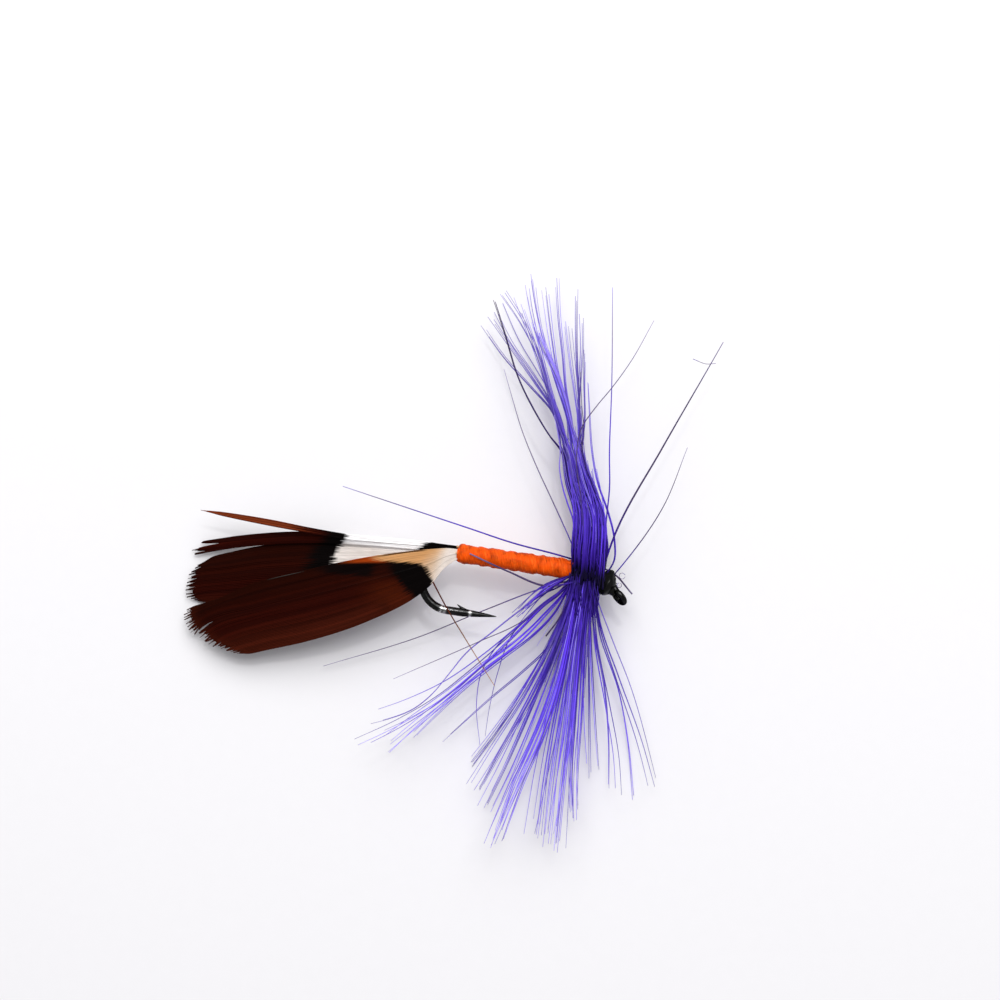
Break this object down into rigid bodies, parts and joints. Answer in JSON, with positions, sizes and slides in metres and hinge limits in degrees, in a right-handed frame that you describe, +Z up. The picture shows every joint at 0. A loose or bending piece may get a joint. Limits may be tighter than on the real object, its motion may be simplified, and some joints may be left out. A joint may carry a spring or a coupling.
{
  "type": "dry fly",
  "caption": "Dry fly with feather tail, orange floss body, violet wound hackle, thread head and a down-eyed barbed hook.",
  "frame": {"origin": "on the table under the middle of the fly's outline, as the fly lies on its side", "axes": "+Z up from the table and square to the hook's plane, +X toward the eye, +Y toward the fly's back, away from the hook's point"},
  "size_m": [0.0435, 0.0471, 0.0062],
  "materials": {
    "hook_metal": "polished",
    "black_thread": "satin",
    "orange_floss": "satin",
    "tail_feather": "satin",
    "feather_quill": "satin",
    "violet_hackle": "satin",
    "head_cement": "gloss"
  },
  "bodies": {
    "hook_and_body": {"hook": "hook_metal", "thread_underbody": "black_thread", "tail_lashing_thread": "black_thread", "floss_body": "orange_floss", "front_feather_butt": "feather_quill", "rear_feather_butt": "feather_quill", "top_slip_feather_butt": "feather_quill", "hackle_tie_thread": "black_thread", "hackle_stem": "violet_hackle", "head_thread": "black_thread", "head_cement": "head_cement", "stray_barb_front_long": "violet_hackle", "stray_barb_front_short": "violet_hackle", "stray_barb_back_long": "violet_hackle", "stray_barb_belly_long": "violet_hackle"},
    "front_feather": {"front_feather_quill": "feather_quill", "front_vane_upper": "tail_feather", "front_vane_lower": "tail_feather", "loose_tail_barb": "tail_feather"},
    "rear_feather": {"rear_feather_quill": "feather_quill", "rear_vane_upper": "tail_feather", "rear_vane_lower": "tail_feather", "rear_split_strand": "tail_feather"},
    "top_slip_feather": {"top_slip": "tail_feather"},
    "upper_hackle": {"upper_hackle_tuft_1": "violet_hackle", "upper_hackle_tuft_2": "violet_hackle", "upper_hackle_tuft_3": "violet_hackle", "upper_hackle_tuft_4": "violet_hackle", "upper_hackle_tuft_5": "violet_hackle", "upper_hackle_tuft_6": "violet_hackle", "upper_hackle_tuft_7": "violet_hackle", "stray_barb_upright": "violet_hackle", "stray_barb_crossing": "violet_hackle", "stray_barb_left": "violet_hackle"},
    "lower_hackle": {"lower_hackle_tuft_1": "violet_hackle", "lower_hackle_tuft_2": "violet_hackle", "lower_hackle_tuft_3": "violet_hackle", "lower_hackle_tuft_4": "violet_hackle", "lower_hackle_tuft_5": "violet_hackle", "lower_hackle_tuft_6": "violet_hackle", "lower_hackle_tuft_7": "violet_hackle", "lower_hackle_tuft_8": "violet_hackle", "lower_hackle_tuft_9": "violet_hackle", "belly_hackle_tuft_1": "violet_hackle", "belly_hackle_tuft_2": "violet_hackle", "belly_hackle_tuft_3": "violet_hackle", "stray_barb_belly_short": "violet_hackle"}
  },
  "joints": [
    {"name": "front_feather_flex", "type": "hinge", "parent": "hook_and_body", "child": "front_feather", "pos_m": [-0.00001, 0.00085, 0.0036], "axis": [0.1435, 0.9897, 0], "range_deg": [-1, 15], "stiffness_Nm_per_rad": 0.0002},
    {"name": "rear_feather_splay", "type": "hinge", "parent": "hook_and_body", "child": "rear_feather", "pos_m": [-0.00001, 0.00085, 0.0036], "axis": [0, 0, 1], "range_deg": [-9, 4], "stiffness_Nm_per_rad": 0.0002},
    {"name": "top_slip_flex", "type": "hinge", "parent": "hook_and_body", "child": "top_slip_feather", "pos_m": [-0.00001, 0.00085, 0.0036], "axis": [0.1435, 0.9897, 0], "range_deg": [-1.5, 12], "stiffness_Nm_per_rad": 0.00002},
    {"name": "upper_hackle_sweep", "type": "hinge", "parent": "hook_and_body", "child": "upper_hackle", "pos_m": [0.01073, -0.00071, 0.0036], "axis": [0, 0, 1], "range_deg": [-10, 12], "stiffness_Nm_per_rad": 0.00006},
    {"name": "lower_hackle_sweep", "type": "hinge", "parent": "hook_and_body", "child": "lower_hackle", "pos_m": [0.01073, -0.00071, 0.0036], "axis": [0, 0, 1], "range_deg": [-6, 8], "stiffness_Nm_per_rad": 0.00006}
  ]
}
